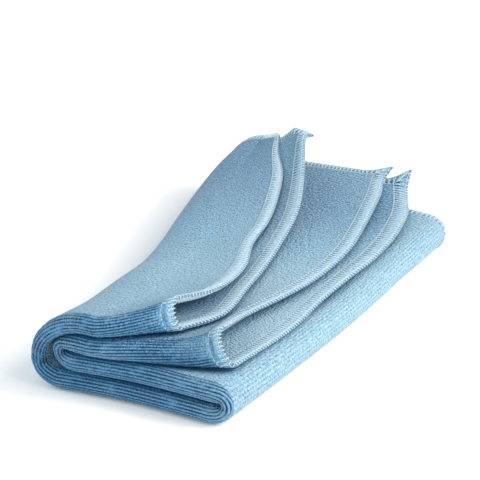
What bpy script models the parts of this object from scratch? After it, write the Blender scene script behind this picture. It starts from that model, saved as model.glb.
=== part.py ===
"""A knitted microfibre cloth, folded: in half once, then the doubled strip in half twice more.

The cloth starts as a flat rectangle.  It is folded in half over a line along its length, so that the
closed fold lies at the front and the hems at the back.  The doubled strip then runs back and forth:
layer A on top, round the outer left turn to layer 0 on the table, round the right turn to layer 1,
and round the inner left turn to layer B, which lies between layer 1 and layer A.  The two sheets of
the strip are the outer one, which is outermost in the outer left turn, and the inner one.

X runs along the strip, Y from the front fold to the back, and Z is up.  Tables are in millimetres.
"""
import math

import bmesh
import bpy
import numpy as np

MM = 0.001
NAME = "cloth"
THICKNESS = 2.4            # of the knitted sheet with its pile
STRIP_LENGTH = 320.0       # cut size along the strip
CLOTH_WIDTH = 400.0        # cut size across the strip, before the first fold
NOSE = 3.0                 # radius of the front fold
NOSE_TILT = 0.7            # share of the tilt between its two sheets that the front fold follows
MIDDLE_X, MIDDLE_Y = -56.45, 103.8  # middle of the folded outline, put at the origin
LAST_DEPTH = 197.0         # from the centre of the front fold to the back hem
DEPTH_ROWS = 17            # stations from the front fold to the back hem
DEPTH_GROWTH = 1.2         # above 1 they stand closer near the front fold
NOSE_STEPS = 5             # stations round the front fold
TURN_REACH = 1.15          # a tight turn reaches this much further than half its height
SQUEEZE = 0.92             # share of the spacing of the two sheets that is left beside the inner turn
TURN_WEIGHT = 3.0          # stations: one radian of turning counts as much as this length
TIGHT_HALF = 1.5           # half the spacing of the two sheets where they are drawn round a tight turn
LOOSE_HALF = 2.2           # and round the outer left turn
LOWER_ROUND = 4.0          # the lower round of the outer turn is this much wider than high
Y_EASE = 1.3               # how late a flap starts to slew backwards

# Segments along the strip, in order.
RUNS = (("flap_a", 11), ("outer_turn", 8), ("layer_0", 5), ("right_turn", 8),
        ("layer_1", 5), ("inner_turn", 10), ("flap_b", 12))

# The folds, a row for each depth behind the front fold.  right, left and inner: outermost X of the
# right, outer left and inner left turn.  lift: how much higher layer 1 is at the right turn.  low:
# height of the outer left turn's outermost point.  top_a and top_b: height of layers A and B at their
# turns, and round_a and round_b: how far in their upper rounds reach.  half: half the spacing of the
# two sheets.  air: gap between layers 0 and 1.  y_left and y_right: how far the turns on each side lie
# behind their depth, and bow: how much more layers 0 and 1 do half way along.
FOLD_COLUMNS = ("depth", "right", "lift", "left", "low", "top_a", "round_a", "inner", "top_b",
                "round_b", "half", "air", "y_left", "y_right", "bow")
FOLDS = (
    (0, 0.0, 0.4, -93.4, 12.0, 33.9, 29, -82.2, 23.8, 17, 3.3, 0.7, -4, 3, 2),
    (25, 0.8, 0.4, -92.2, 11.5, 31.2, 32, -79.0, 21.9, 16, 2.9, 0.8, -2, 2, 1.5),
    (50, 1.6, 0.4, -92.3, 11.5, 29.5, 30, -78.0, 20.7, 15, 2.65, 0.8, 0, 1, 1),
    (75, 2.4, 0.4, -92.5, 11.0, 28.4, 27, -78.5, 19.8, 14, 2.4, 0.9, 0, 0, 0.5),
    (100, 2.8, 0.3, -97.0, 11.5, 28.0, 24, -82.0, 19.5, 12, 2.2, 0.9, 0, 0, 0),
    (125, 2.6, 0.3, -103.2, 12.0, 27.8, 20, -88.0, 19.4, 11, 2.2, 0.9, 0, 0, 0),
    (150, 1.8, 0.3, -109.0, 12.0, 27.8, 18, -94.0, 19.4, 10, 2.2, 0.9, 0, 0, 0),
    (175, 0.6, 0.3, -114.0, 12.0, 28.0, 17, -99.5, 19.6, 10, 2.3, 0.8, 0, -0.5, 0),
    (197, -1.5, 0.2, -116.0, 12.0, 28.4, 16, -102.5, 20.6, 9, 2.25, 0.7, 0, -2.5, 0),
)

# The four side hems, one of each sheet of each flap, a row for each of the same depths: x, y, z, and
# how late the flap bends up to it, as the power of the share of its run.
HEMS = {
    "outer_a": ((-38, 25.5, 41, 3), (-33, 50.5, 36, 2.5), (-37.5, 77, 32.5, 2.5), (-46.5, 99, 31.5, 2.5),
                (-52.5, 124, 31, 2.5), (-61, 147, 31, 2.5), (-72, 170, 31, 2.5), (-85, 189, 31, 2.5),
                (-93, 204, 31, 2.5)),
    "inner_a": ((-33, 21, 30.2, 5), (-26.2, 43, 28.9, 5), (-31.5, 70, 27.3, 5), (-36, 94, 26.5, 5),
                (-41.5, 118, 27, 5), (-48, 142, 28.5, 5), (-58, 165, 31, 4), (-70, 187, 34.5, 3),
                (-79, 203, 38, 2)),
    "inner_b": ((-17.2, 27, 31.9, 7), (-21, 51, 25.6, 7), (-18.5, 75, 23.5, 7), (-16, 99, 22, 7),
                (-16, 124, 21.5, 7), (-19, 148, 21.5, 7), (-23, 172, 22.2, 5), (-29, 196, 21.4, 3),
                (-37, 213, 20.6, 3)),
    "outer_b": ((-6.5, 18.5, 21.6, 5), (-6, 43, 19.3, 5), (-6, 67, 17.8, 5), (-8, 91, 17.2, 5),
                (-8, 116, 17.2, 5), (-7, 140, 17.4, 5), (-9, 165, 18.4, 5), (-16, 189, 18.2, 4),
                (-27, 210, 17.4, 4)),
}


def through(values, depth):
    """Value at a depth of the smooth curve through one value for each row of the folds."""
    depths = [row[0] for row in FOLDS]
    steps = [(values[i + 1] - values[i]) / (depths[i + 1] - depths[i]) for i in range(len(depths) - 1)]
    slopes = [steps[0]] + [(a + b) / 2 for a, b in zip(steps, steps[1:])] + [steps[-1]]
    i = max(k for k in range(len(depths) - 1) if depths[k] <= depth)
    span = depths[i + 1] - depths[i]
    t = (depth - depths[i]) / span
    return ((2 * t**3 - 3 * t**2 + 1) * values[i] + (t**3 - 2 * t**2 + t) * span * slopes[i]
            + (3 * t**2 - 2 * t**3) * values[i + 1] + (t**3 - t**2) * span * slopes[i + 1])


def fold_at(depth):
    """Every column of the folds at one depth, by name."""
    return {name: through([row[k] for row in FOLDS], depth)
            for k, name in enumerate(FOLD_COLUMNS) if k}


def hem_at(name, depth):
    """Point of one side hem at one depth."""
    return [through([row[k] for row in HEMS[name]], depth) for k in range(4)]


def round_arc(centre, reach, height, start, end, count=16):
    """Points of an ellipse's arc, with angles in quarter turns from +X towards +Z."""
    turn = np.linspace(start, end, count) * math.pi / 2
    return np.stack([centre[0] + reach * np.cos(turn), centre[1] + height * np.sin(turn)], axis=1)


def straight(x_from, x_to, z_from, z_to, count=12):
    """Points of a flat run."""
    return np.stack([np.linspace(x_from, x_to, count), np.linspace(z_from, z_to, count)], axis=1)


def flap_run(start, hem, count=24):
    """Points from a turn to a side hem, level at the turn and bent late."""
    t = np.linspace(0, 1, count)
    rise = (hem[2] - start[1]) * t**hem[3]
    return np.stack([start[0] + (hem[0] - start[0]) * t, start[1] + rise], axis=1)


def spread(points, segments):
    """The same line with its points at even distances, and closer where it turns."""
    steps = np.diff(points, axis=0)
    steps = steps[np.linalg.norm(steps, axis=1) > 1e-6]
    points = np.concatenate([points[:1], points[0] + np.cumsum(steps, axis=0)])
    headings = np.unwrap(np.arctan2(steps[:, 1], steps[:, 0]))
    turns = np.abs(np.gradient(headings)) if len(steps) > 1 else 0.0
    along = np.concatenate([[0], np.cumsum(np.linalg.norm(steps, axis=1) + TURN_WEIGHT * turns)])
    at = np.linspace(0, along[-1], segments + 1)
    return np.stack([np.interp(at, along, points[:, k]) for k in range(2)], axis=1)


def section_lines(depth, outer):
    """X and Z of every run of one sheet at one depth, from the hem of flap A to the hem of flap B."""
    fold = fold_at(depth)
    half_layer = fold["half"] + THICKNESS / 2
    out = fold["half"] if outer else -fold["half"]
    tight = TIGHT_HALF if outer else -TIGHT_HALF
    z_0 = half_layer
    z_1 = z_0 + 2 * half_layer + fold["air"]
    # outer left turn: an upper and a lower round that meet at its outermost point
    left = fold["left"] + LOOSE_HALF + THICKNESS / 2
    loose = LOOSE_HALF if outer else -LOOSE_HALF
    low = fold["low"]
    x_up = left + fold["round_a"]
    x_low = left + low - z_0 + LOWER_ROUND
    upper = round_arc((x_up, low), fold["round_a"] + loose, fold["top_a"] - low + out, 1, 2)
    lower = round_arc((x_low, low), low - z_0 + LOWER_ROUND + loose, low - z_0 + out, 2, 3)
    # right turn: the inner sheet runs on flat until its own smaller round
    rise = (z_1 + fold["lift"] - z_0) / 2
    x_right = fold["right"] - THICKNESS / 2 - (rise + fold["half"]) * TURN_REACH
    reach = (rise + out) * TURN_REACH
    tip = fold["right"] - THICKNESS / 2 - TIGHT_HALF + tight
    right = round_arc((tip - reach, z_0 + rise), reach, rise + out, -1, 1)
    right = np.concatenate([[(x_right, right[0][1])], right, [(x_right, right[-1][1])]])
    # inner left turn: here the outer sheet lies inside, and runs on flat
    middle = (z_1 + fold["top_b"]) / 2
    beside = SQUEEZE * out
    height = middle - z_1 - beside
    x_under = fold["inner"] + THICKNESS / 2 + (middle - z_1 + fold["half"]) * TURN_REACH
    x_over = fold["inner"] + THICKNESS / 2 + fold["round_b"]
    reach = height * TURN_REACH
    tip = fold["inner"] + THICKNESS / 2 + TIGHT_HALF + tight
    inner_low = round_arc((tip + reach, middle), reach, height, 3, 2)
    inner_up = round_arc((tip + reach, middle), reach, height, 2, 1)
    if not outer:
        inner_up = round_arc((x_over, middle), fold["round_b"], height, 2, 1)
    inner_turn = np.concatenate([[(x_under, inner_low[0][1])], inner_low, inner_up[1:],
                                 [(x_over, inner_up[-1][1])]])
    sheet = "outer" if outer else "inner"
    hem_a, hem_b = sheet + "_a", sheet + "_b"
    return {
        "flap_a": flap_run(upper[0], hem_at(hem_a, depth))[::-1],
        "outer_turn": np.concatenate([upper, lower[1:]]),
        "layer_0": straight(x_low, x_right, z_0 - out, z_0 - out),
        "right_turn": right,
        "layer_1": straight(x_right, x_under, z_1 + fold["lift"] + out, z_1 + beside),
        "inner_turn": inner_turn,
        "flap_b": flap_run(inner_turn[-1], hem_at(hem_b, depth)),
    }


def section(depth, outer, runs=RUNS):
    """Points of one sheet at one depth, from the hem of flap A to the hem of flap B."""
    lines = section_lines(depth, outer)
    fold = fold_at(depth)
    left, right = fold["y_left"], fold["y_right"]
    sheet = "outer" if outer else "inner"
    y = NOSE + depth
    slew_a = hem_at(sheet + "_a", depth)[1] - y
    slew_b = hem_at(sheet + "_b", depth)[1] - y
    slews = {"flap_a": (slew_a, left), "outer_turn": (left, left), "layer_0": (left, right),
             "right_turn": (right, right), "layer_1": (right, left), "inner_turn": (left, left),
             "flap_b": (left, slew_b)}
    points = []
    for name, segments in runs:
        line = spread(lines[name], segments)
        share = np.linspace(0, 1, segments + 1)
        bow = fold["bow"] * np.sin(math.pi * share) if name.startswith("layer") else 0.0
        if name == "flap_a":
            share = 1 - (1 - share)**Y_EASE
        if name == "flap_b":
            share = share**Y_EASE
        start, end = slews[name]
        line = np.stack([line[:, 0], y + start + (end - start) * share + bow, line[:, 1]], axis=1)
        points.append(line if not points else line[1:])
    return np.concatenate(points)


def front_fold(outer, inner):
    """Stations round the front fold, from the outer sheet to the inner one."""
    middle = (outer + inner) / 2
    radius = np.maximum(np.abs(outer[:, 2] - inner[:, 2]) / 2, NOSE)
    radius = np.minimum(radius, np.linalg.norm(outer - inner, axis=1) / 2)
    chord = (outer - inner) / np.linalg.norm(outer - inner, axis=1)[:, None]
    forward = np.array([0.0, -1.0, 0.0]) + NOSE_TILT * chord[:, 1:2] * chord
    forward /= np.linalg.norm(forward, axis=1)[:, None]
    turns = [math.pi * k / (NOSE_STEPS + 1) for k in range(1, NOSE_STEPS + 1)]
    return [middle + (outer - middle) * math.cos(turn) + forward * (radius * math.sin(turn))[:, None]
            for turn in turns]


def folded_points():
    """Centre surface of the folded cloth: [station along the strip][station across the cloth]."""
    depths = LAST_DEPTH * np.linspace(0, 1, DEPTH_ROWS)**DEPTH_GROWTH
    outer = [section(depth, True) for depth in depths]
    inner = [section(depth, False) for depth in depths]
    across = outer[::-1] + front_fold(outer[0], inner[0]) + inner
    return (np.stack(across, axis=1) - (MIDDLE_X, MIDDLE_Y, 0.0)) * MM


def clear_scene():
    """Remove every object that is there."""
    for thing in list(bpy.data.objects):
        bpy.data.objects.remove(thing, do_unlink=True)


def cloth_material():
    """Light-blue microfibre."""
    material = bpy.data.materials.new("blue_microfibre")
    material.use_nodes = True
    shader = material.node_tree.nodes["Principled BSDF"]
    shader.inputs["Base Color"].default_value = (0.25, 0.47, 0.70, 1.0)
    shader.inputs["Roughness"].default_value = 0.9
    shader.inputs["Metallic"].default_value = 0.0
    return material


def make_cloth(collection):
    """Take a flat grid of the cut size, fold it, and give it its thickness."""
    points = folded_points()
    along, across = points.shape[0] - 1, points.shape[1] - 1
    flat = bmesh.new()
    bmesh.ops.create_grid(flat, x_segments=along, y_segments=across, size=0.5)
    for vert in flat.verts:
        i = round((vert.co.x + 0.5) * along)
        j = round((vert.co.y + 0.5) * across)
        vert.co = points[i, j]
    mesh = bpy.data.meshes.new(NAME)
    flat.to_mesh(mesh)
    flat.free()
    mesh.shade_smooth()
    cloth = bpy.data.objects.new(NAME, mesh)
    collection.objects.link(cloth)
    solidify = cloth.modifiers.new("thickness", "SOLIDIFY")
    solidify.thickness = THICKNESS * MM
    solidify.offset = 0.0
    cloth.data.materials.append(cloth_material())
    return cloth


def main():
    clear_scene()
    collection = bpy.data.collections.new("microfibre_cloth")
    bpy.context.scene.collection.children.link(collection)
    make_cloth(collection)


main()
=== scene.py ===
"""Looks of the folded microfibre cloth: one ribbed knitted sheet with its overlocked edge.

The sheet is folded as in the CAD model.  Along the strip (u, from the hem of flap A to the hem of flap
B) it runs from flap A round the outer left turn to layer 0 on the table, round the right turn to layer
1 and round the inner left turn to flap B.  Across the strip (v) it runs from the back hem of the outer
sheet to the front fold, where v is 0, and on to the back hem of the inner sheet.  X runs along the
strip, Y to the back and Z up.  Shape constants are in millimetres.
"""
import math

import bpy
import numpy as np
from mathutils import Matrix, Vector, noise
from mathutils.bvhtree import BVHTree


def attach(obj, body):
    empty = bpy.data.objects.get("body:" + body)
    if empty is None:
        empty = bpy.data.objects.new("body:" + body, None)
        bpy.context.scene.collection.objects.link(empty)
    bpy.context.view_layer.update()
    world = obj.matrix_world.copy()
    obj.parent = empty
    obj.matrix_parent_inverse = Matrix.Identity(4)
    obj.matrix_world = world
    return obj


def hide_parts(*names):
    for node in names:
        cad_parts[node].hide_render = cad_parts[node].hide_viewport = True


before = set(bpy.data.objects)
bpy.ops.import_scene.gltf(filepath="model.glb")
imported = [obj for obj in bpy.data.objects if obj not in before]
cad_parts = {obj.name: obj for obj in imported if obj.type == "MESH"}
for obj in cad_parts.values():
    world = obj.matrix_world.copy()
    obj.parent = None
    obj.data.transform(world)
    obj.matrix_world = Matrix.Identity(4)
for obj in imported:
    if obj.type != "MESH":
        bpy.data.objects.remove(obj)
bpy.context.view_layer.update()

MM = 0.001

# ------------------------------------------------------------------ the fold, as in the CAD model

THICKNESS = 2.4
STRIP_LENGTH = 320.0       # flat size along the strip
HALF_WIDTH = 200.0         # flat size across the strip, from the front fold to a back hem
NOSE = 3.0                 # radius of the front fold
NOSE_TILT = 0.7            # share of the tilt between its two sheets that the front fold follows
MIDDLE_X, MIDDLE_Y = -56.45, 103.8  # middle of the folded outline, put at the origin
LAST_DEPTH = 197.0         # from the centre of the front fold to the back hem
TURN_REACH = 1.15          # a tight turn reaches this much further than half its height
SQUEEZE = 0.92             # share of the spacing of the two sheets that is left beside the inner turn
TURN_WEIGHT = 3.0          # stations: one radian of turning counts as much as this length
TIGHT_HALF = 1.5           # half the spacing of the two sheets where they are drawn round a tight turn
LOOSE_HALF = 2.2           # and round the outer left turn
LOWER_ROUND = 4.0          # the lower round of the outer turn is this much wider than high
Y_EASE = 1.3               # how late a flap starts to slew backwards

# Segments along the strip, in order, and how much finer the fold is first worked out.
RUNS = (("flap_a", 42), ("outer_turn", 38), ("layer_0", 28), ("right_turn", 18),
        ("layer_1", 30), ("inner_turn", 20), ("flap_b", 42))
FINER = 3

# The folds, a row for each depth behind the front fold.  right, left and inner: outermost X of the
# right, outer left and inner left turn.  lift: how much higher layer 1 is at the right turn.  low:
# height of the outer left turn's outermost point.  top_a and top_b: height of layers A and B at their
# turns, and round_a and round_b: how far in their upper rounds reach.  half: half the spacing of the
# two sheets.  air: gap between layers 0 and 1.  y_left and y_right: how far the turns on each side lie
# behind their depth, and bow: how much more layers 0 and 1 do half way along.
FOLD_COLUMNS = ("depth", "right", "lift", "left", "low", "top_a", "round_a", "inner", "top_b",
                "round_b", "half", "air", "y_left", "y_right", "bow")
FOLDS = (
    (0, 0.0, 0.4, -93.4, 12.0, 33.9, 29, -82.2, 23.8, 17, 3.3, 0.7, -4, 3, 2),
    (25, 0.8, 0.4, -92.2, 11.5, 31.2, 32, -79.0, 21.9, 16, 2.9, 0.8, -2, 2, 1.5),
    (50, 1.6, 0.4, -92.3, 11.5, 29.5, 30, -78.0, 20.7, 15, 2.65, 0.8, 0, 1, 1),
    (75, 2.4, 0.4, -92.5, 11.0, 28.4, 27, -78.5, 19.8, 14, 2.4, 0.9, 0, 0, 0.5),
    (100, 2.8, 0.3, -97.0, 11.5, 28.0, 24, -82.0, 19.5, 12, 2.2, 0.9, 0, 0, 0),
    (125, 2.6, 0.3, -103.2, 12.0, 27.8, 20, -88.0, 19.4, 11, 2.2, 0.9, 0, 0, 0),
    (150, 1.8, 0.3, -109.0, 12.0, 27.8, 18, -94.0, 19.4, 10, 2.2, 0.9, 0, 0, 0),
    (175, 0.6, 0.3, -114.0, 12.0, 28.0, 17, -99.5, 19.6, 10, 2.3, 0.8, 0, -0.5, 0),
    (197, -1.5, 0.2, -116.0, 12.0, 28.4, 16, -102.5, 20.6, 9, 2.25, 0.7, 0, -2.5, 0),
)

# The four side hems, one of each sheet of each flap, a row for each of the same depths: x, y, z, and
# how late the flap bends up to it, as the power of the share of its run.
HEMS = {
    "outer_a": ((-38, 25.5, 41, 3), (-33, 50.5, 36, 2.5), (-37.5, 77, 32.5, 2.5),
                (-46.5, 99, 31.5, 2.5), (-52.5, 124, 31, 2.5), (-61, 147, 31, 2.5),
                (-72, 170, 31, 2.5), (-85, 189, 31, 2.5), (-93, 204, 31, 2.5)),
    "inner_a": ((-33, 21, 30.2, 5), (-26.2, 43, 28.9, 5), (-31.5, 70, 27.3, 5), (-36, 94, 26.5, 5),
                (-41.5, 118, 27, 5), (-48, 142, 28.5, 5), (-58, 165, 31, 4), (-70, 187, 34.5, 3),
                (-79, 203, 38, 2)),
    "inner_b": ((-17.2, 27, 31.9, 7), (-21, 51, 25.6, 7), (-18.5, 75, 23.5, 7), (-16, 99, 22, 7),
                (-16, 124, 21.5, 7), (-19, 148, 21.5, 7), (-23, 172, 22.2, 5), (-29, 196, 21.4, 3),
                (-37, 213, 20.6, 3)),
    "outer_b": ((-6.5, 18.5, 21.6, 5), (-6, 43, 19.3, 5), (-6, 67, 17.8, 5), (-8, 91, 17.2, 5),
                (-8, 116, 17.2, 5), (-7, 140, 17.4, 5), (-9, 165, 18.4, 5), (-16, 189, 18.2, 4),
                (-27, 210, 17.4, 4)),
}


def through(values, depth):
    """Value at a depth of the smooth curve through one value for each row of the folds."""
    depths = [row[0] for row in FOLDS]
    steps = [(values[i + 1] - values[i]) / (depths[i + 1] - depths[i]) for i in range(len(depths) - 1)]
    slopes = [steps[0]] + [(a + b) / 2 for a, b in zip(steps, steps[1:])] + [steps[-1]]
    i = max(k for k in range(len(depths) - 1) if depths[k] <= depth)
    span = depths[i + 1] - depths[i]
    t = (depth - depths[i]) / span
    return ((2 * t**3 - 3 * t**2 + 1) * values[i] + (t**3 - 2 * t**2 + t) * span * slopes[i]
            + (3 * t**2 - 2 * t**3) * values[i + 1] + (t**3 - t**2) * span * slopes[i + 1])


def fold_at(depth):
    """Every column of the folds at one depth, by name."""
    return {name: through([row[k] for row in FOLDS], depth)
            for k, name in enumerate(FOLD_COLUMNS) if k}


def hem_at(name, depth):
    """Point of one side hem at one depth."""
    return [through([row[k] for row in HEMS[name]], depth) for k in range(4)]


def round_arc(centre, reach, height, start, end, count=40):
    """Points of an ellipse's arc, with angles in quarter turns from +X towards +Z."""
    turn = np.linspace(start, end, count) * math.pi / 2
    return np.stack([centre[0] + reach * np.cos(turn), centre[1] + height * np.sin(turn)], axis=1)


def straight(x_from, x_to, z_from, z_to, count=12):
    """Points of a flat run."""
    return np.stack([np.linspace(x_from, x_to, count), np.linspace(z_from, z_to, count)], axis=1)


def flap_run(start, hem, count=40):
    """Points from a turn to a side hem, level at the turn and bent late."""
    t = np.linspace(0, 1, count)
    rise = (hem[2] - start[1]) * t**hem[3]
    return np.stack([start[0] + (hem[0] - start[0]) * t, start[1] + rise], axis=1)


def spread(points, segments):
    """The same line with its points at even distances, and closer where it turns."""
    steps = np.diff(points, axis=0)
    steps = steps[np.linalg.norm(steps, axis=1) > 1e-6]
    points = np.concatenate([points[:1], points[0] + np.cumsum(steps, axis=0)])
    headings = np.unwrap(np.arctan2(steps[:, 1], steps[:, 0]))
    turns = np.abs(np.gradient(headings)) if len(steps) > 1 else 0.0
    along = np.concatenate([[0], np.cumsum(np.linalg.norm(steps, axis=1) + TURN_WEIGHT * turns)])
    at = np.linspace(0, along[-1], segments + 1)
    return np.stack([np.interp(at, along, points[:, k]) for k in range(2)], axis=1)


def section_lines(depth, outer):
    """X and Z of every run of one sheet at one depth, from the hem of flap A to the hem of flap B."""
    fold = fold_at(depth)
    half_layer = fold["half"] + THICKNESS / 2
    out = fold["half"] if outer else -fold["half"]
    tight = TIGHT_HALF if outer else -TIGHT_HALF
    z_0 = half_layer
    z_1 = z_0 + 2 * half_layer + fold["air"]
    # outer left turn: an upper and a lower round that meet at its outermost point
    left = fold["left"] + LOOSE_HALF + THICKNESS / 2
    loose = LOOSE_HALF if outer else -LOOSE_HALF
    low = fold["low"]
    x_up = left + fold["round_a"]
    x_low = left + low - z_0 + LOWER_ROUND
    upper = round_arc((x_up, low), fold["round_a"] + loose, fold["top_a"] - low + out, 1, 2)
    lower = round_arc((x_low, low), low - z_0 + LOWER_ROUND + loose, low - z_0 + out, 2, 3)
    # right turn: the inner sheet runs on flat until its own smaller round
    rise = (z_1 + fold["lift"] - z_0) / 2
    x_right = fold["right"] - THICKNESS / 2 - (rise + fold["half"]) * TURN_REACH
    reach = (rise + out) * TURN_REACH
    tip = fold["right"] - THICKNESS / 2 - TIGHT_HALF + tight
    right = round_arc((tip - reach, z_0 + rise), reach, rise + out, -1, 1)
    right = np.concatenate([[(x_right, right[0][1])], right, [(x_right, right[-1][1])]])
    # inner left turn: here the outer sheet lies inside, and runs on flat
    middle = (z_1 + fold["top_b"]) / 2
    beside = SQUEEZE * out
    height = middle - z_1 - beside
    x_under = fold["inner"] + THICKNESS / 2 + (middle - z_1 + fold["half"]) * TURN_REACH
    x_over = fold["inner"] + THICKNESS / 2 + fold["round_b"]
    reach = height * TURN_REACH
    tip = fold["inner"] + THICKNESS / 2 + TIGHT_HALF + tight
    inner_low = round_arc((tip + reach, middle), reach, height, 3, 2)
    inner_up = round_arc((tip + reach, middle), reach, height, 2, 1)
    if not outer:
        inner_up = round_arc((x_over, middle), fold["round_b"], height, 2, 1)
    inner_turn = np.concatenate([[(x_under, inner_low[0][1])], inner_low, inner_up[1:],
                                 [(x_over, inner_up[-1][1])]])
    sheet = "outer" if outer else "inner"
    hem_a, hem_b = sheet + "_a", sheet + "_b"
    return {
        "flap_a": flap_run(upper[0], hem_at(hem_a, depth))[::-1],
        "outer_turn": np.concatenate([upper, lower[1:]]),
        "layer_0": straight(x_low, x_right, z_0 - out, z_0 - out),
        "right_turn": right,
        "layer_1": straight(x_right, x_under, z_1 + fold["lift"] + out, z_1 + beside),
        "inner_turn": inner_turn,
        "flap_b": flap_run(inner_turn[-1], hem_at(hem_b, depth)),
    }


def section(depth, outer):
    """Points of one sheet at one depth, from the hem of flap A to the hem of flap B."""
    lines = section_lines(depth, outer)
    fold = fold_at(depth)
    left, right = fold["y_left"], fold["y_right"]
    sheet = "outer" if outer else "inner"
    y = NOSE + depth
    slew_a = hem_at(sheet + "_a", depth)[1] - y
    slew_b = hem_at(sheet + "_b", depth)[1] - y
    slews = {"flap_a": (slew_a, left), "outer_turn": (left, left), "layer_0": (left, right),
             "right_turn": (right, right), "layer_1": (right, left), "inner_turn": (left, left),
             "flap_b": (left, slew_b)}
    points = []
    for name, segments in RUNS:
        segments *= FINER
        line = spread(lines[name], segments)
        share = np.linspace(0, 1, segments + 1)
        bow = fold["bow"] * np.sin(math.pi * share) if name.startswith("layer") else 0.0
        if name == "flap_a":
            share = 1 - (1 - share)**Y_EASE
        if name == "flap_b":
            share = share**Y_EASE
        start, end = slews[name]
        line = np.stack([line[:, 0], y + start + (end - start) * share + bow, line[:, 1]], axis=1)
        points.append(line if not points else line[1:])
    return np.concatenate(points)


def front_fold(outer, inner, steps):
    """Stations round the front fold, from the outer sheet to the inner one."""
    middle = (outer + inner) / 2
    radius = np.maximum(np.abs(outer[:, 2] - inner[:, 2]) / 2, NOSE)
    radius = np.minimum(radius, np.linalg.norm(outer - inner, axis=1) / 2)
    chord = (outer - inner) / np.linalg.norm(outer - inner, axis=1)[:, None]
    forward = np.array([0.0, -1.0, 0.0]) + NOSE_TILT * chord[:, 1:2] * chord
    forward /= np.linalg.norm(forward, axis=1)[:, None]
    turns = [math.pi * k / (steps + 1) for k in range(1, steps + 1)]
    return [middle + (outer - middle) * math.cos(turn) + forward * (radius * math.sin(turn))[:, None]
            for turn in turns]


# ------------------------------------------------------------------ the finely divided sheet

RIB = 1.12                 # distance between two furrows of the knit
RIB_STEPS = 4              # columns for each rib near the front fold
FINE_RIBS = 13             # how many ribs on each side of the front fold are modelled
HEM_STEPS = (0.0, 0.5, 1.1, 1.9, 2.8, 3.6, 4.1, 4.5, 5.0, 6.4)   # each edge has rows this far in
HEM_CLEAR = 0.8            # least distance between the last of these rows and the next one
STEP_GROWTH = 1.2          # beyond the ribs each column is this much wider than the one before
WIDEST_STEP = 6.0
LAST_STEP = 4.0            # the growing columns end within this distance of the back hem's rows
DEPTH_STATIONS = 90        # from the front fold to the back hem, when first worked out
DEPTH_POWER = 1.15         # above 1 they stand closer near the front fold
NOSE_STATIONS = 23         # round the front fold, then too
TRUE_PART = 60.0           # the sheet keeps its true length this far behind the front fold

FURROW_SIDES = 1.3         # steepness of a furrow's sides
FURROW_FLAT = 0.04         # depth of a furrow where the cloth lies flat
FURROW_OPENED = 0.55       # and what is added where it is fully stretched
DEEPEST_FURROW = 0.75
FURROW_EVEN, FURROW_NOISE = 1.1, 0.7 # mean of a furrow's depth, and how much each noise varies it
FURROW_SHARES = (0.2, 1.8)           # least and most that this can come to
COLOURED_DEPTH = 0.45      # a furrow this deep is fully painted with shade
LEAST_STEP = 0.05          # points nearer than this to each other count as this far apart
STRETCHED_AT = 0.16        # curvature in 1/mm round the front fold that stretches a face fully
TURNED_AT = 0.11           # curvature in 1/mm along the strip that counts as a full turn
RIBS_START, RIBS_FULL = 4.0, 7.0     # distances from an edge between which the ribs set in
LUMP_HEIGHT = 0.13         # of the knit's small lumps
LUMPS_FLAT = 0.3           # share of them that is left where the cloth is flat
# Noises over the cloth: size along u and v, and how many times each is shifted by the last pair.
BROAD_NOISE = (22, 6, 1)
DASH_NOISE = (2.6, 1.3, 2)
LUMP_NOISE = (2.2, 2.2, 3)
NOISE_SHIFTS = (7.3, 1.7)

FLAT_UNIT = 100.0          # the texture coordinates of the flat cloth count in this length
SEAM = 4.5                 # distance of the needle line from the edge
SEAM_DEPTH, SEAM_WIDTH = 0.22, 0.5   # of the dent that it makes
EDGE_THICKNESS = 1.5       # of the hem at its very edge
HEM_TAPER = 4.5            # distance from the edge at which the sheet has its full thickness
EDGE_ROUND = 0.42          # how far the round edge stands out, as a share of its thickness
EDGE_CLEAR = 0.3           # least height of the round edge's middle over the table

GAP_SEEN = 7.5             # painted shade: cloth that lies nearer than this over a face darkens it to a deeper blue
GAP_LEANS = (-0.7, 0.0, 0.7)         # the directions looked in lean this much to the front or back
GAP_START = 0.4            # how far over a face the look starts

# Unevenness of the soft stack in Z and in Y: amount, sizes of its waves, and the height over the
# table at which it is full.
SAG, SAG_SIZE, SAG_FULL = 0.5, 30, 30
SWAY, SWAY_SIZE_X, SWAY_SIZE_Z, SWAY_FULL = 0.8, 24, 9, 8

# Places at the edge that are drawn out, most of them corners pulled by their thread ends: u and v, how
# far the pull reaches, how sharply it grows, and by how much it moves the place in X, Y and Z.
CORNERS = (
    (10.0, 200.0, 38.0, 1.0, (-0.5, 3.0, 4.4)),
    (0.0, 200.0, 8.5, 1.0, (4.8, 0.0, -5.0)),
    (6.0, -200.0, 26.0, 1.0, (0.2, 0.8, 1.6)),
    (320.0, 185.0, 60.0, 1.0, (-5.0, 0.0, -0.6)),
    (320.0, 200.0, 11.0, 2.4, (4.4, 0.5, 4.8)),
    (314.0, -200.0, 24.0, 1.0, (-0.8, 0.0, 2.4)),
    (320.0, -200.0, 9.5, 2.0, (2.0, 1.6, 7.8)),
    (150.0, -200.0, 45.0, 1.0, (2.8, 0.0, 0.0)),
    (152.0, -200.0, 13.0, 1.5, (3.4, 0.0, -0.8)),
    (26.0, -200.0, 22.0, 1.2, (0.0, -1.0, 1.8)),
    (150.0, 200.0, 45.0, 1.0, (2.8, 0.0, 0.0)),
)
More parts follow.
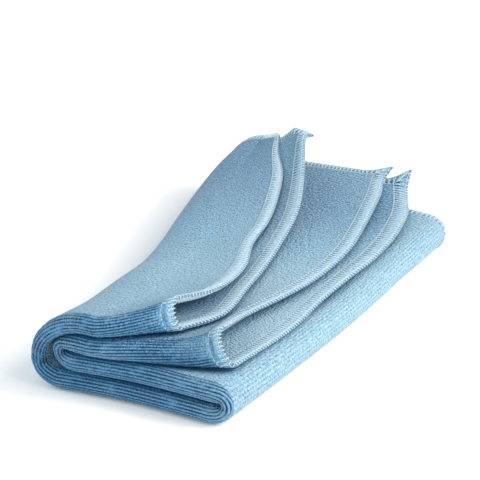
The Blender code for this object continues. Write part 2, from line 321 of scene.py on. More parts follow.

# Patches of painted light and painted shade: u and v of the middle of each patch, its reach along
# both, and its strength, positive for painted light and negative for painted shade.
PAINTED_LIGHT_PATCHES = (
    (28.0, -172.0, 42.0, 55.0, -0.9),
    (25.0, -60.0, 40.0, 50.0, 0.5),
    (287.0, 165.0, 36.0, 48.0, -1.1),
    (310.0, -185.0, 25.0, 40.0, -1.3),
    (6.0, 165.0, 20.0, 55.0, -0.6),
    (13.0, 36.0, 14.0, 28.0, -0.8),
    (312.0, -70.0, 18.0, 44.0, 1.1),
    (305.0, 75.0, 40.0, 36.0, 0.85),
    (168.0, -100.0, 34.0, 130.0, 0.75),
    (262.0, 15.0, 26.0, 9.0, -0.7),
    (268.0, -1.0, 26.0, 5.0, 0.3),
    (76.0, 18.0, 34.0, 10.0, -1.6),
    (302.0, -4.0, 13.0, 12.0, -0.8),
    (210.0, -15.0, 22.0, 9.0, -1.3),
)


def dense_fold():
    """Centre surface, as [row along the strip][column across it]."""
    depths = LAST_DEPTH * np.linspace(0, 1, DEPTH_STATIONS)**DEPTH_POWER
    outer = [section(depth, True) for depth in depths]
    inner = [section(depth, False) for depth in depths]
    across = outer[::-1] + front_fold(outer[0], inner[0], NOSE_STATIONS) + inner
    return np.stack(across, axis=1) - (MIDDLE_X, MIDDLE_Y, 0.0)


def columns_v():
    """Stations across the strip: even round the front fold, then growing, then those of the hems."""
    fine = RIB * np.arange(0, FINE_RIBS * RIB_STEPS + 1) / RIB_STEPS
    steps = []
    at, step = fine[-1], RIB / RIB_STEPS
    while at < HALF_WIDTH - HEM_STEPS[-1] - LAST_STEP:
        step = min(step * STEP_GROWTH, WIDEST_STEP)
        at += step
        steps.append(at)
    span = (HALF_WIDTH - HEM_STEPS[-1] - fine[-1]) / (steps[-1] - fine[-1])
    coarse = [fine[-1] + (s - fine[-1]) * span for s in steps]
    hem = [HALF_WIDTH - d for d in HEM_STEPS[:-1]][::-1]
    half = np.array([*fine, *coarse, *hem])
    return np.concatenate([-half[:0:-1], half])


def rows_u(bounds):
    """Stations along the strip, from the places where its runs meet."""
    rows = []
    for (_, segments), start, end in zip(RUNS, bounds, bounds[1:]):
        stations = np.linspace(start, end, segments + 1)
        rows.extend(stations if not rows else stations[1:])
    first = HEM_STEPS[-1] + HEM_CLEAR
    inside = [u for u in rows if first < u < STRIP_LENGTH - first]
    return np.array([*HEM_STEPS, *inside, *(STRIP_LENGTH - d for d in HEM_STEPS[::-1])])


def resample_columns(dense, columns):
    """Each row at true distances from the front fold, its last part stretched to meet the back hem."""
    rows, count = dense.shape[:2]
    out = np.zeros((rows, len(columns), 3))
    lengths = np.linalg.norm(np.diff(dense, axis=1), axis=2)
    for r in range(rows):
        along = np.concatenate([[0], np.cumsum(lengths[r])])
        along -= along[count // 2]
        at = np.array(columns)
        for sign, end in ((-1, -along[0]), (1, along[-1])):
            far = sign * at > TRUE_PART
            share = (sign * at[far] - TRUE_PART) / (HALF_WIDTH - TRUE_PART)
            at[far] = sign * (TRUE_PART + share * (end - TRUE_PART))
        for k in range(3):
            out[r, :, k] = np.interp(at, along, dense[r, :, k])
    return out


def make_grid():
    """Centre surface of the finely divided sheet, with the flat u and v of its rows and columns."""
    columns = columns_v()
    dense = resample_columns(dense_fold(), columns)
    lengths = np.linalg.norm(np.diff(dense, axis=0), axis=2).mean(axis=1)
    along = np.concatenate([[0], np.cumsum(lengths)])
    along *= STRIP_LENGTH / along[-1]
    ends = np.cumsum([0] + [segments * FINER for _, segments in RUNS])
    rows = rows_u(along[ends])
    grid = np.zeros((len(rows), len(columns), 3))
    for c in range(len(columns)):
        for k in range(3):
            grid[:, c, k] = np.interp(rows, along, dense[:, c, k])
    return grid, rows, columns


def unit(vectors):
    """The same directions at length 1."""
    return vectors / np.maximum(np.linalg.norm(vectors, axis=-1, keepdims=True), 1e-9)


def normals_of(grid):
    """Unit normals, on the outer face of the folded cloth."""
    return unit(np.cross(np.gradient(grid, axis=0), np.gradient(grid, axis=1)))


def bend_of(grid, axis):
    """Curvature in 1/mm along one axis of the grid, positive where the outer face is stretched."""
    step = np.gradient(grid, axis=axis)
    size = np.maximum(np.linalg.norm(step, axis=2), LEAST_STEP)
    change = np.gradient(step / size[:, :, None], axis=axis) / size[:, :, None]
    return -np.einsum("ijk,ijk->ij", change, normals_of(grid))


def smooth(values, rounds, axis):
    """Even out neighbours along one axis of the grid."""
    for _ in range(rounds):
        padded = np.concatenate([values.take([0], axis), values, values.take([-1], axis)], axis)
        count = values.shape[axis]
        values = (padded.take(range(0, count), axis) + 2 * padded.take(range(1, count + 1), axis)
                  + padded.take(range(2, count + 2), axis)) / 4
    return values


def edge_distance(rows, columns):
    """Flat distance to the nearest edge of the cloth."""
    from_u = np.minimum(rows, STRIP_LENGTH - rows)
    from_v = HALF_WIDTH - np.abs(columns)
    return np.minimum(from_u[:, None], from_v[None, :])


def noise_over(rows, columns, size_u, size_v, number):
    """Smooth noise from about -1 to 1 over the flat cloth."""
    along, aside = (shift * number for shift in NOISE_SHIFTS)
    return np.array([[noise.noise(Vector((u / size_u + along, v / size_v, aside)))
                      for v in columns] for u in rows])


def painted_light_over(rows, columns):
    """Share from -1 to 1 of painted shade, below 0, and painted light, above 0."""
    out = np.zeros((len(rows), len(columns)))
    for u, v, reach_u, reach_v, strength in PAINTED_LIGHT_PATCHES:
        far = ((rows[:, None] - u) / reach_u)**2 + ((columns[None, :] - v) / reach_v)**2
        out += strength * np.exp(-far)
    return np.clip(out, -1, 1)


def settle(grid, rows, columns):
    """Small unevenness of the soft stack, and the drawn-out places at the edge."""
    out = grid.copy()
    for i in range(len(rows)):
        for j in range(len(columns)):
            x, y, z = grid[i, j]
            sag = noise.noise(Vector((x / SAG_SIZE, y / SAG_SIZE, 0.3)))
            sway = noise.noise(Vector((x / SWAY_SIZE_X, z / SWAY_SIZE_Z, 5.1)))
            out[i, j, 2] += SAG * sag * min(1.0, z / SAG_FULL)
            out[i, j, 1] += SWAY * sway * min(1.0, z / SWAY_FULL)
    for u, v, reach, power, move in CORNERS:
        far = np.hypot(rows[:, None] - u, columns[None, :] - v)
        out += (np.clip(1 - far / reach, 0, 1)**power)[:, :, None] * np.array(move)
    return out


def furrow_lines(columns):
    """From 0 to 1 at the bottom of each furrow, across the strip, where the ribs are modelled."""
    phase = np.abs(((columns / RIB) % 1.0) - 0.5) * 2
    return np.clip(1 - phase * FURROW_SIDES, 0, 1) * (np.abs(columns) < FINE_RIBS * RIB)


def make_faces(grid, normal, rows, columns, edge):
    """Both faces of the sheet: points, share by which each is stretched, and depth of its furrows.

    The furrows are deep where a face is stretched round the front fold, and broken into dashes by the
    loops that bridge them.
    """
    bend = smooth(bend_of(grid, 1), 3, 1)
    furrow = furrow_lines(columns)[None, :]
    broad = noise_over(rows, columns, *BROAD_NOISE)
    dashes = noise_over(rows, columns, *DASH_NOISE)
    lumps = noise_over(rows, columns, *LUMP_NOISE)
    uneven = np.clip(FURROW_EVEN + FURROW_NOISE * broad + FURROW_NOISE * dashes, *FURROW_SHARES)
    inside = np.clip((edge - RIBS_START) / (RIBS_FULL - RIBS_START), 0, 1)
    half = (EDGE_THICKNESS + (THICKNESS - EDGE_THICKNESS) * np.clip(edge / HEM_TAPER, 0, 1)) / 2
    stitched = SEAM_DEPTH * np.exp(-((edge - SEAM) / SEAM_WIDTH)**2)
    faces = []
    for side in (1, -1):
        stretched = np.clip(side * bend / STRETCHED_AT, 0, 1)
        depth = (FURROW_FLAT + FURROW_OPENED * stretched) * uneven
        grooves = furrow * np.clip(depth, 0.0, DEEPEST_FURROW) * inside
        rough = LUMP_HEIGHT * lumps * np.clip(stretched + LUMPS_FLAT, 0, 1) * inside
        points = grid + side * normal * (half - grooves - stitched + rough)[:, :, None]
        points[:, :, 2] = np.maximum(points[:, :, 2], 0.0)
        faces.append((points, stretched, grooves))
    return faces


def closed_skin(grid, top, bottom):
    """Points and four-sided faces of the closed sheet, and the grid numbers of its edge points.

    The edge itself is round: a third line of points stands out between the two faces.
    """
    count_u, count_v = grid.shape[:2]
    below = count_u * count_v
    index = np.arange(below).reshape(count_u, count_v)
    a, b, c, d = index[:-1, :-1], index[1:, :-1], index[1:, 1:], index[:-1, 1:]
    upper = np.stack([a, b, c, d], axis=2).reshape(-1, 4)
    lower = np.stack([a, d, c, b], axis=2).reshape(-1, 4) + below
    rim = np.concatenate([index[0, :], index[1:, -1], index[-1, -2::-1], index[-2:0:-1, 0]])
    beyond = np.roll(rim, -1)
    outward = edge_outward(grid).reshape(-1, 3)[rim]
    middle = grid.reshape(-1, 3)[rim] + outward * EDGE_THICKNESS * EDGE_ROUND
    middle[:, 2] = np.maximum(middle[:, 2], EDGE_CLEAR)
    mid = np.arange(len(rim)) + 2 * below
    mid_beyond = np.roll(mid, -1)
    rim_top = np.stack([rim, mid, mid_beyond, beyond], axis=1)[:, ::-1]
    rim_low = np.stack([mid, rim + below, beyond + below, mid_beyond], axis=1)[:, ::-1]
    verts = np.concatenate([top.reshape(-1, 3), bottom.reshape(-1, 3), middle])
    return verts, np.concatenate([upper, lower, rim_top, rim_low]), rim


def closeness(tree, face, outward, across):
    """Share from 0 to 1 by which other cloth lies close over each point of a face."""
    found = np.zeros(face.shape[:2])
    for lean in GAP_LEANS:
        ways = unit(outward + lean * across)
        starts = face + GAP_START * outward
        for place in np.ndindex(found.shape):
            far = tree.ray_cast(starts[place], ways[place], GAP_SEEN)[3]
            if far is not None:
                found[place] += (1 - far / GAP_SEEN) / len(GAP_LEANS)
    return smooth(smooth(found, 2, 0), 2, 1)


def make_sheet():
    """The sheet as one closed mesh with ribs, a hem and flat coordinates."""
    grid, rows, columns = make_grid()
    grid = settle(grid, rows, columns)
    normal = normals_of(grid)
    across = unit(np.gradient(grid, axis=1))
    edge = edge_distance(rows, columns)
    faces = make_faces(grid, normal, rows, columns, edge)
    verts, quads, rim = closed_skin(grid, faces[0][0], faces[1][0])
    tree = BVHTree.FromPolygons(verts.tolist(), quads.tolist())
    turned = smooth(bend_of(grid, 0), 2, 0) / TURNED_AT
    # painted light and shade, in patches
    painted_light_share = painted_light_over(rows, columns)

    mesh = bpy.data.meshes.new("cloth_sheet")
    mesh.from_pydata((verts * MM).tolist(), [], quads.tolist())
    add_flat_coordinates(mesh, rows, columns, rim)
    put(mesh, "edge", edge, edge)
    put(mesh, "furrow", *(grooves / COLOURED_DEPTH for _, _, grooves in faces))
    put(mesh, "front_bend", *(stretched for _, stretched, _ in faces))
    put(mesh, "painted_light", painted_light_share, painted_light_share)
    # painted shade in the gaps: how close other cloth lies over each face
    put(mesh, "close", *(closeness(tree, face[0], side * normal, across)
                         for side, face in zip((1, -1), faces)))
    put(mesh, "side_bend", *(np.clip(side * turned, -1, 1) for side in (1, -1)))
    mesh.shade_smooth()
    mesh.validate()
    sheet = bpy.data.objects.new("cloth_sheet", mesh)
    bpy.context.scene.collection.objects.link(sheet)
    return sheet, grid, normal, rows, columns


def add_flat_coordinates(mesh, rows, columns, rim):
    """The place of every point on the flat cloth, as texture coordinates."""
    flat_u = np.repeat(rows, len(columns))
    flat_v = np.tile(columns, len(rows))
    u = np.concatenate([flat_u, flat_u, flat_u[rim]])
    v = np.concatenate([flat_v, flat_v, flat_v[rim]])
    corners = np.zeros(len(mesh.loops), dtype=np.int32)
    mesh.loops.foreach_get("vertex_index", corners)
    layer = mesh.uv_layers.new(name="flat_cloth")
    layer.data.foreach_set("uv", np.stack([u[corners], v[corners]], axis=1).ravel() / FLAT_UNIT)


def put(mesh, name, top, bottom):
    """Store one number for each point of both faces, and 0 for the round edge."""
    values = np.zeros(len(mesh.vertices), dtype=np.float32)
    values[:top.size + bottom.size] = np.concatenate([top.ravel(), bottom.ravel()])
    mesh.attributes.new(name, "FLOAT", "POINT").data.foreach_set("value", values)


def edge_outward(grid):
    """Unit vectors that point out of the cloth, in its surface, at every edge point."""
    out = np.zeros_like(grid)
    out[0] += unit(grid[0] - grid[2])
    out[-1] += unit(grid[-1] - grid[-3])
    out[:, 0] += unit(grid[:, 0] - grid[:, 2])
    out[:, -1] += unit(grid[:, -1] - grid[:, -3])
    return unit(out + 1e-9)


# ------------------------------------------------------------------ overlock stitches

STITCH = 1.85              # length of one stitch along the edge
LOOPER_RADIUS = 0.21
NEEDLE_RADIUS = 0.24
PURL_RADIUS = 0.27
THREAD_SIDES = 5
ASIDE = (0.31, 0.17, 0.93)           # oblique to the threads: their rings are set out from it
THREAD_TAPER = 4.0         # distance from the edge at which the threads lie at their full height
NEEDLE_SUNK = 0.12         # the needle line lies this much deeper in its dent
SUNK = 0.40                # how far the threads sink into the cloth at the front fold
SUNK_REACH = 12.0          # and how far from the fold that has mostly passed
SUNK_FROM = 2.0            # threads nearer to the edge than this don't sink

# One stitch of each thread: share of the stitch, distance from the edge, and height.  The heights of
# the looper and the needle thread count from the face, and those of the edge thread from the middle
# of the sheet.
LOOPER_SHAPE = ((0.00, 4.7, 0.02), (0.09, 3.5, 0.12), (0.11, 2.1, 0.12), (0.26, 0.3, 0.10),
                (0.74, 0.3, 0.10), (0.89, 2.1, 0.12), (0.91, 3.5, 0.12))
NEEDLE_SHAPE = ((0.0, SEAM, -0.60), (0.14, SEAM, -0.05), (0.32, SEAM, 0.14), (0.68, SEAM, 0.14),
                (0.86, SEAM, -0.05))
PURL_SHAPE = ((0.0, 0.45, 0.85), (0.12, -0.35, 0.70), (0.25, -1.05, 0.0), (0.38, -0.35, -0.70),
              (0.50, 0.45, -0.85), (0.65, 0.2, -0.75), (0.80, -0.1, 0.0), (0.90, 0.2, 0.75))


class Surface:
    """The folded sheet as a function of its flat coordinates."""

    def __init__(self, grid, normal, rows, columns):
        """Keep the grid with its normals and flat coordinates."""
        self.grid, self.normal, self.rows, self.columns = grid, normal, rows, columns
        self.outward = edge_outward(grid)

    def at(self, u, v, field):
        """Value of a field at a flat coordinate inside the cloth."""
        i = int(np.clip(np.searchsorted(self.rows, u) - 1, 0, len(self.rows) - 2))
        j = int(np.clip(np.searchsorted(self.columns, v) - 1, 0, len(self.columns) - 2))
        s = (u - self.rows[i]) / (self.rows[i + 1] - self.rows[i])
        t = (v - self.columns[j]) / (self.columns[j + 1] - self.columns[j])
        return ((1 - s) * (1 - t) * field[i, j] + s * (1 - t) * field[i + 1, j]
                + (1 - s) * t * field[i, j + 1] + s * t * field[i + 1, j + 1])

    def beside(self, along, inset, height):
        """Point at a distance along the cloth's edge, inset from it and raised from the centre."""
        u, v = edge_place(along, max(inset, 0.0))
        if inset > SUNK_FROM:
            height -= math.copysign(SUNK * math.exp(-(v / SUNK_REACH)**2), height)
        point = self.at(u, v, self.grid)
        if inset < 0:
            point = point - inset * unit(self.at(u, v, self.outward))
        return point + unit(self.at(u, v, self.normal)) * height


def edge_place(along, inset):
    """Flat coordinates, counted round the cloth from the corner at the start of its outer back hem."""
    width = 2 * HALF_WIDTH
    along %= 2 * (STRIP_LENGTH + width)
    for side, length in (("v0", STRIP_LENGTH), ("u1", width), ("v1", STRIP_LENGTH), ("u0", width)):
        if along < length:
            break
        along -= length
    along = min(max(along, inset), length - inset)
    if side == "v0":
        return along, -HALF_WIDTH + inset
    if side == "u1":
        return STRIP_LENGTH - inset, -HALF_WIDTH + along
    if side == "v1":
        return STRIP_LENGTH - along, HALF_WIDTH - inset
    return inset, HALF_WIDTH - along


def half_at(inset):
    """Height of a face over the middle of the sheet at a distance from the edge."""
    near = min(max(inset, 0.0) / THREAD_TAPER, 1.0)
    return (EDGE_THICKNESS + (THICKNESS - EDGE_THICKNESS) * near) / 2


def stitched_path(surface, shape, shift=0.0):
    """A closed thread round the cloth: one copy of the shape (share, inset, height) for each stitch."""
    total = 2 * (STRIP_LENGTH + 2 * HALF_WIDTH)
    count = int(total / STITCH)
    step = total / count
    path = []
    for k in range(count):
        for share, inset, height in shape:
            path.append(surface.beside((k + share + shift) * step, inset, height))
    return np.array(path)


def looper_shape(side):
    """Zigzag from the needle line to the edge and back, on one face."""
    return [(share, inset, side * (half_at(inset) + raised)) for share, inset, raised in LOOPER_SHAPE]


def needle_shape(side):
    """Dashes of the needle thread: it shows on the face and dips into it between two stitches."""
    return [(share, inset, side * (half_at(inset) - NEEDLE_SUNK + raised))
            for share, inset, raised in NEEDLE_SHAPE]


def make_threads(name, paths, radius):
    """Join closed round threads into one piece."""
    verts, quads, start = [], [], 0
    sides = THREAD_SIDES
    angles = np.arange(sides) * 2 * math.pi / sides
    for path in paths:
        direction = unit(np.roll(path, -1, axis=0) - np.roll(path, 1, axis=0))
        side = unit(np.cross(direction, ASIDE))
        up = np.cross(side, direction)
        ring = (side[:, None, :] * np.cos(angles)[None, :, None]
                + up[:, None, :] * np.sin(angles)[None, :, None]) * radius
        points = (path[:, None, :] + ring).reshape(-1, 3)
        points[:, 2] = np.maximum(points[:, 2], 0.0)
        count = len(path)
        i, k = np.arange(count)[:, None], np.arange(sides)[None, :]
        after, beside = (i + 1) % count, (k + 1) % sides
        faces = np.stack([i * sides + k, i * sides + beside, after * sides + beside, after * sides + k],
                         axis=2).reshape(-1, 4)
        verts.append(points)
        quads.append(faces + start)
        start += len(points)
    mesh = bpy.data.meshes.new(name)
    mesh.from_pydata((np.concatenate(verts) * MM).tolist(), [], np.concatenate(quads).tolist())
    mesh.shade_smooth()
    piece = bpy.data.objects.new(name, mesh)
    bpy.context.scene.collection.objects.link(piece)
    return piece


# ------------------------------------------------------------------ materials

BLUE = (0.052, 0.320, 0.590, 1.0)
DEEP_BLUE = (0.004, 0.042, 0.112, 1.0)      # between the loops, and painted shade in the furrows, beside the needle line and at the front fold
PALE_BLUE = (0.252, 0.430, 0.535, 1.0)      # tips of the loops, hem thread, and painted highlight on the flat parts
LIGHT_AND_FADED_BLUE = (0.385, 0.580, 0.675, 1.0)     # painted light, and single tips of the grain brushed with the light
SHADE_AND_DENSE_BLUE = (0.005, 0.085, 0.220, 1.0)     # painted shade, and single tips of the grain brushed against the light
GAP_SHADE_BLUE = (0.002, 0.088, 0.205, 1.0)       # painted shade on faces that lie close to each other
THREAD = (0.460, 0.615, 0.705, 1.0)
SHEEN_TINT = (0.80, 0.90, 0.97, 1.0)

# Textures over the flat cloth: kind, waves in each FLAT_UNIT, stretch of their coordinates, and detail.
EVEN = (1, 1, 1)
TEXTURES = {
    "loops": ("ShaderNodeTexVoronoi", 108.0, (1.0, 0.9, 1.0), 0.0),
    "fibres": ("ShaderNodeTexNoise", 95.0, EVEN, 3.0),      # paler tips
    "grain": ("ShaderNodeTexNoise", 125.0, EVEN, 1.0),      # single tips, brushed one way or the other
    "wander": ("ShaderNodeTexNoise", 7.0, EVEN, 2.0),       # how the furrows wander
    "patches": ("ShaderNodeTexNoise", 3.6, EVEN, 3.0),      # large paler patches
    "brushed": ("ShaderNodeTexNoise", 22.0, EVEN, 2.0),     # and smaller ones within them
    "broken": ("ShaderNodeTexNoise", 60.0, (0.4, 1.2, 1.0), 2.0),   # breaks the furrows into dashes
}
# Values of these textures between which a tint comes in.
LOOP_GAPS = (0.35, 0.75)
TIPS = (0.44, 0.62)
PATCHES = (0.35, 0.75)
BRUSHED = (0.2, 0.8)
GRAIN_MIDDLE, GRAIN_FADED, GRAIN_DENSE = 0.50, 0.68, 0.32

# Strength of a tint on a flat part of the cloth, and where the front fold stretches it.
GAP_TINT = (0.78, 0.38)
TIP_TINT = (0.90, 0.55)
# The paler tint of the flat parts is a painted highlight in place of sheen; the deeper tint of the
# front fold is partly the stretched knit's darker ground, partly painted shade.
PAINTED_SHEEN_TINT = (0.40, 0.0)
DEEPER_TINT = (0.0, 0.22)
GRAIN_TINT = (0.45, 0.05)
SEAM_TINT = (0.8, 0.1)
# Strength of other tints.
PATCH_TINT = 0.55          # of the large paler patches
PAINTED_LIGHT_TINT = 0.5           # of the painted light
PAINTED_SHADE_TINT = (0.72, 0.37)  # of the painted shade, between the tips of the loops and on them
GAP_SHADE_SEEN, GAP_SHADE_TINT = (0.07, 0.70), 0.85  # closeness between which the painted shade of the gaps comes in, and its strength
HEM_COVERED, HEM_TINT = (3.4, 2.2), 0.35     # distances from the edge between which thread covers it
RIM_SHADE, RIM_TINT = (0.9, 0.2), 0.4        # and between which the very edge darkens
SEAM_SHADE = 3.2           # distance from the edge of the painted shade between the threads beside the needle line
SEAM_SHADE_WIDTHS = (1.125, 0.5)     # where it begins and is full, to either side
SEAM_UNDER_LIGHT = (1.0, 0.25)     # what is left of that painted shade outside the painted light, and inside it

# Fine furrows along the depth, which the textures draw as bumps with painted shade in them.
LINE_WANDER = 0.006
LINE_HALF_WIDTH = 0.3125   # as a share of their distance
LINE_STRENGTH = (0.14, 0.49)         # on a flat part, and where the strip turns
DASH_CONTRAST, DASH_BRIGHTNESS = 2.2, -0.35
LINE_TINT = 0.8

LOOP_HEIGHT = 0.0009       # of the bump, in metres
FIBRE_SHARE, LINE_SHARE = 0.7, -0.7  # of the bump, beside the loops
SHEEN = (0.27, 0.0)        # in the open, and in the painted shade of the gaps

# Twist of the threads: texture, as above but in each metre, and the values between which it shows.
TWIST = ("ShaderNodeTexNoise", 1600.0, EVEN, 2.0)
TWIST_SEEN = (0.35, 0.65)


def node(tree, kind, **settings):
    """Add a node with these settings."""
    made = tree.nodes.new(kind)
    for name, value in settings.items():
        setattr(made, name, value)
    return made


def join(tree, value, socket):
    """Feed a socket with a constant or with another node's output."""
    if isinstance(value, (int, float, tuple)):
        socket.default_value = value
    else:
        tree.links.new(value, socket)


def math_node(tree, operation, first, second=None, third=None, clamp=False):
    """Output of a calculation with up to three values."""
    made = node(tree, "ShaderNodeMath", operation=operation, use_clamp=clamp)
    for slot, value in enumerate((first, second, third)):
        if value is not None:
            join(tree, value, made.inputs[slot])
    return made.outputs[0]


def times(tree, first, second):
    """Product of two values."""
    return math_node(tree, "MULTIPLY", first, second)


def varied(tree, value, strengths):
    """The first strength where the value is 0, and the second where it is 1."""
    return math_node(tree, "MULTIPLY_ADD", value, strengths[1] - strengths[0], strengths[0], clamp=True)


def mix_colour(tree, share, first, second):
    """The first colour with a share of the second one."""
    made = node(tree, "ShaderNodeMix", data_type="RGBA")
    for slot, value in ((0, share), (6, first), (7, second)):
        join(tree, value, made.inputs[slot])
    return made.outputs[2]


def ramp(tree, value, start, end):
    """From 0 at start to 1 at end."""
    made = node(tree, "ShaderNodeMapRange", clamp=True)
    join(tree, value, made.inputs[0])
    made.inputs[1].default_value = start
    made.inputs[2].default_value = end
    return made.outputs[0]


def texture(tree, place, kind, scale, stretch, detail):
    """Value of a texture at a place."""
    mapped = node(tree, "ShaderNodeMapping")
    mapped.inputs["Scale"].default_value = stretch
    join(tree, place, mapped.inputs["Vector"])
    made = node(tree, kind)
    made.inputs["Scale"].default_value = scale
    made.inputs["Detail"].default_value = detail
    join(tree, mapped.outputs[0], made.inputs["Vector"])
    return made.outputs[0]


def cloth_values(tree):
    """What the cloth's material reads: the values stored on the mesh, and the textures over it."""
    flat = node(tree, "ShaderNodeUVMap", uv_map="flat_cloth").outputs["UV"]
    split = node(tree, "ShaderNodeSeparateXYZ")
    tree.links.new(flat, split.inputs[0])
    values = {"u": split.outputs[0]}
    for name in ("edge", "furrow", "front_bend", "side_bend", "painted_light", "close"):
        values[name] = node(tree, "ShaderNodeAttribute", attribute_name=name).outputs["Fac"]
    for name, (kind, scale, stretch, detail) in TEXTURES.items():
        values[name] = texture(tree, flat, kind, scale, stretch, detail)
    return values


def side_lines(tree, read):
    """Fine furrows along the depth, broken into dashes, which open where the strip turns."""
    place = math_node(tree, "MULTIPLY_ADD", read["wander"], LINE_WANDER, read["u"])
    line = math_node(tree, "FRACT", times(tree, place, FLAT_UNIT / RIB))
    line = math_node(tree, "ABSOLUTE", math_node(tree, "SUBTRACT", line, 0.5))
    line = ramp(tree, line, LINE_HALF_WIDTH, 0.0)
    turned = math_node(tree, "ABSOLUTE", read["side_bend"], clamp=True)
    inside = ramp(tree, read["edge"], SEAM, RIBS_FULL)
    strength = times(tree, varied(tree, turned, LINE_STRENGTH), inside)
    dashes = math_node(tree, "MULTIPLY_ADD", read["broken"], DASH_CONTRAST, DASH_BRIGHTNESS,
                       clamp=True)
    return times(tree, line, times(tree, strength, dashes))


def pile_bump(tree, read, lines):
    """Bump of the loops, their fibres and the fine furrows."""
    height = times(tree, read["loops"], -1.0)
    height = math_node(tree, "MULTIPLY_ADD", read["fibres"], FIBRE_SHARE, height)
    height = math_node(tree, "MULTIPLY_ADD", lines, LINE_SHARE, height)
    bump = node(tree, "ShaderNodeBump")
    bump.inputs["Strength"].default_value = 1.0
    bump.inputs["Distance"].default_value = LOOP_HEIGHT
    tree.links.new(height, bump.inputs["Height"])
    return bump.outputs[0]


def pile_tints(tree, read, lines, gap_shade):
    """Shares and colours of the pile, with its painted light and shade, in the order in which they are
    laid over the blue.
    """
    bend = read["front_bend"]
    tips = ramp(tree, read["fibres"], *TIPS)
    patches = times(tree, ramp(tree, read["patches"], *PATCHES), ramp(tree, read["brushed"], *BRUSHED))
    # painted shade, weaker on the tips of the loops
    dense = times(tree, ramp(tree, read["painted_light"], 0.0, -1.0), varied(tree, tips, PAINTED_SHADE_TINT))
    grain = varied(tree, bend, GRAIN_TINT)
    faded_grain = times(tree, ramp(tree, read["grain"], GRAIN_MIDDLE, GRAIN_FADED), grain)
    dense_grain = times(tree, ramp(tree, read["grain"], GRAIN_MIDDLE, GRAIN_DENSE), grain)
    # painted shade in the modelled furrows and in the fine ones
    grooves = math_node(tree, "MAXIMUM", read["furrow"], times(tree, lines, LINE_TINT), clamp=True)
    return [
        (times(tree, ramp(tree, read["loops"], *LOOP_GAPS), varied(tree, bend, GAP_TINT)), DEEP_BLUE),
        (times(tree, tips, varied(tree, bend, TIP_TINT)), PALE_BLUE),
        (times(tree, patches, PATCH_TINT), PALE_BLUE),
        # painted highlight on the flat parts, then at the front fold partly darker ground, partly
        # painted shade
        (varied(tree, bend, PAINTED_SHEEN_TINT), PALE_BLUE),
        (varied(tree, bend, DEEPER_TINT), DEEP_BLUE),
        # painted light, then painted shade
        (times(tree, ramp(tree, read["painted_light"], 0.0, 1.0), PAINTED_LIGHT_TINT), LIGHT_AND_FADED_BLUE),
        (dense, SHADE_AND_DENSE_BLUE),
        (faded_grain, LIGHT_AND_FADED_BLUE),
        (dense_grain, SHADE_AND_DENSE_BLUE),
        (grooves, DEEP_BLUE),
        # painted shade in the gaps between layers
        (times(tree, gap_shade, GAP_SHADE_TINT), GAP_SHADE_BLUE),
    ]


def hem_tints(tree, read):
    """Shares and colours of the hem: covered by thread up to the needle line, with painted shade
    between the threads beside it.
    """
    from_line = math_node(tree, "ABSOLUTE", math_node(tree, "SUBTRACT", read["edge"], SEAM_SHADE))
    shade = ramp(tree, from_line, *SEAM_SHADE_WIDTHS)
    shade = times(tree, shade, varied(tree, read["front_bend"], SEAM_TINT))
    shade = times(tree, shade, varied(tree, ramp(tree, read["painted_light"], 0.0, 1.0), SEAM_UNDER_LIGHT))
    return [
        (times(tree, ramp(tree, read["edge"], *HEM_COVERED), HEM_TINT), PALE_BLUE),
        (shade, DEEP_BLUE),
        (times(tree, ramp(tree, read["edge"], *RIM_SHADE), RIM_TINT), DEEP_BLUE),
    ]


def cloth_material():
    """Ribbed looped knit: fine loops, furrows where it bends, soft patches and a paler stitched hem,
    with painted light and shade.
    """
    material = bpy.data.materials.new("blue_microfibre")
    material.use_nodes = True
    tree = material.node_tree
    shader = tree.nodes["Principled BSDF"]
    read = cloth_values(tree)
    lines = side_lines(tree, read)
    gap_shade = ramp(tree, read["close"], *GAP_SHADE_SEEN)
    colour = BLUE
    for share, tint in pile_tints(tree, read, lines, gap_shade) + hem_tints(tree, read):
        colour = mix_colour(tree, share, colour, tint)
    tree.links.new(colour, shader.inputs["Base Color"])
    tree.links.new(pile_bump(tree, read, lines), shader.inputs["Normal"])
    # less sheen in the painted shade of the gaps
    tree.links.new(varied(tree, gap_shade, SHEEN), shader.inputs["Sheen Weight"])
    shader.inputs["Sheen Roughness"].default_value = 0.35
    shader.inputs["Sheen Tint"].default_value = SHEEN_TINT
    shader.inputs["Roughness"].default_value = 0.65
    shader.inputs["Specular IOR Level"].default_value = 0.3
    return material


def thread_material():
    """Textured polyester thread, a little paler than the cloth."""
    material = bpy.data.materials.new("pale_thread")
    material.use_nodes = True
    tree = material.node_tree
    shader = tree.nodes["Principled BSDF"]
    place = node(tree, "ShaderNodeTexCoord").outputs["Object"]
    twist = texture(tree, place, *TWIST)
    colour = mix_colour(tree, ramp(tree, twist, *TWIST_SEEN), PALE_BLUE, THREAD)
    tree.links.new(colour, shader.inputs["Base Color"])
    shader.inputs["Roughness"].default_value = 0.8
    shader.inputs["Sheen Weight"].default_value = 0.4
    return material


def floor_material():
    """Even pale table top."""
    material = bpy.data.materials.new("pale_floor")
    material.use_nodes = True
    shader = material.node_tree.nodes["Principled BSDF"]
    shader.inputs["Base Color"].default_value = (0.93, 0.93, 0.93, 1.0)
    shader.inputs["Roughness"].default_value = 0.9
    return material


# ------------------------------------------------------------------ stage

AZIMUTH, ELEVATION = 30.5, 26.5     # of the camera, in degrees: 0 looks along +Y
AIM = (-13.05, 25.4, 15.0)
DISTANCE = 1200.0
LENS, SENSOR = 199.6, 36.0
CLIP_START = 0.05          # metres
FLOOR_HALF = 3.0           # half the floor's side, in metres
FLOOR_DROP = 0.0001        # the floor lies this much under the cloth, in metres

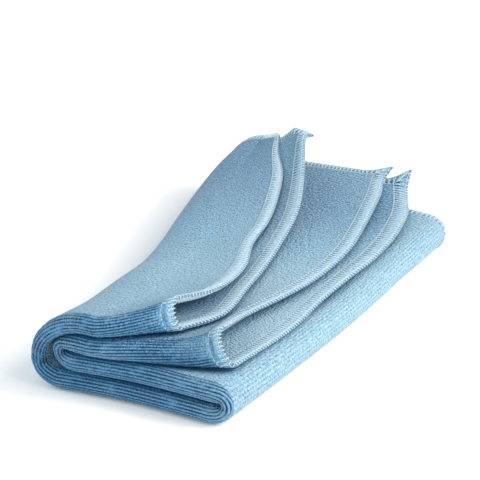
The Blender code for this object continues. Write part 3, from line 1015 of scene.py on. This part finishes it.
# Name, azimuth, elevation, distance and size in metres, power in watts, and colour.
LIGHTS = (
    ("key", 118, 42, 1.1, 0.6, 9.0, (1.0, 0.90, 0.85)),
    ("side", 95, 24, 1.1, 0.8, 13.0, (1.0, 0.89, 0.82)),
    ("front", 5, 18, 1.3, 1.1, 9.0, (0.82, 0.95, 1.0)),
    ("left", 290, 30, 1.3, 1.0, 7.0, (0.90, 0.97, 1.0)),
)
WORLD_COLOUR = (0.93, 0.97, 1.0, 1.0)
WORLD_STRENGTH = 0.52


def direction(azimuth, elevation):
    """Unit vector from the object towards that side."""
    a, e = math.radians(azimuth), math.radians(elevation)
    return Vector((math.sin(a) * math.cos(e), -math.cos(a) * math.cos(e), math.sin(e)))


def make_camera():
    """Long lens from the photo's angle."""
    camera = bpy.data.objects.new("camera", bpy.data.cameras.new("camera"))
    bpy.context.scene.collection.objects.link(camera)
    back = direction(AZIMUTH, ELEVATION)
    camera.location = (Vector(AIM) + back * DISTANCE) * MM
    camera.rotation_euler = back.to_track_quat("Z", "Y").to_euler()
    camera.data.lens = LENS
    camera.data.sensor_width = SENSOR
    camera.data.clip_start = CLIP_START
    bpy.context.scene.camera = camera


def make_light(name, azimuth, elevation, distance, size, power, colour):
    """Square lamp on one side, turned to the cloth."""
    light = bpy.data.lights.new(name, "AREA")
    light.shape = "SQUARE"
    light.size = size
    light.energy = power
    light.color = colour
    lamp = bpy.data.objects.new(name, light)
    towards = direction(azimuth, elevation)
    lamp.location = towards * distance
    lamp.rotation_euler = towards.to_track_quat("Z", "Y").to_euler()
    bpy.context.scene.collection.objects.link(lamp)


def make_stage():
    """Floor, world and lamps."""
    mesh = bpy.data.meshes.new("floor")
    corners = [(FLOOR_HALF * x, FLOOR_HALF * y, 0) for x, y in ((-1, -1), (1, -1), (1, 1), (-1, 1))]
    mesh.from_pydata(corners, [], [(0, 1, 2, 3)])
    floor = bpy.data.objects.new("floor", mesh)
    floor.location.z = -FLOOR_DROP
    floor.data.materials.append(floor_material())
    bpy.context.scene.collection.objects.link(floor)
    world = bpy.data.worlds.new("studio")
    world.use_nodes = True
    background = world.node_tree.nodes["Background"]
    background.inputs["Color"].default_value = WORLD_COLOUR
    background.inputs["Strength"].default_value = WORLD_STRENGTH
    bpy.context.scene.world = world
    for light in LIGHTS:
        make_light(*light)
    bpy.context.scene.view_settings.view_transform = "Standard"
    bpy.context.scene.view_settings.look = "None"


# ------------------------------------------------------------------ build

sheet, grid, normal, rows, columns = make_sheet()
sheet.data.materials.append(cloth_material())
surface = Surface(grid, normal, rows, columns)
loopers = [stitched_path(surface, looper_shape(1)), stitched_path(surface, looper_shape(-1), 0.5)]
needles = [stitched_path(surface, needle_shape(1)), stitched_path(surface, needle_shape(-1))]
threads = [
    make_threads("looper_threads", loopers, LOOPER_RADIUS),
    make_threads("needle_thread", needles, NEEDLE_RADIUS),
    make_threads("edge_thread", [stitched_path(surface, PURL_SHAPE)], PURL_RADIUS),
]
thread_look = thread_material()
for piece in threads:
    piece.data.materials.append(thread_look)
for piece in [sheet] + threads:
    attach(piece, "root")
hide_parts("cloth")
make_stage()
make_camera()
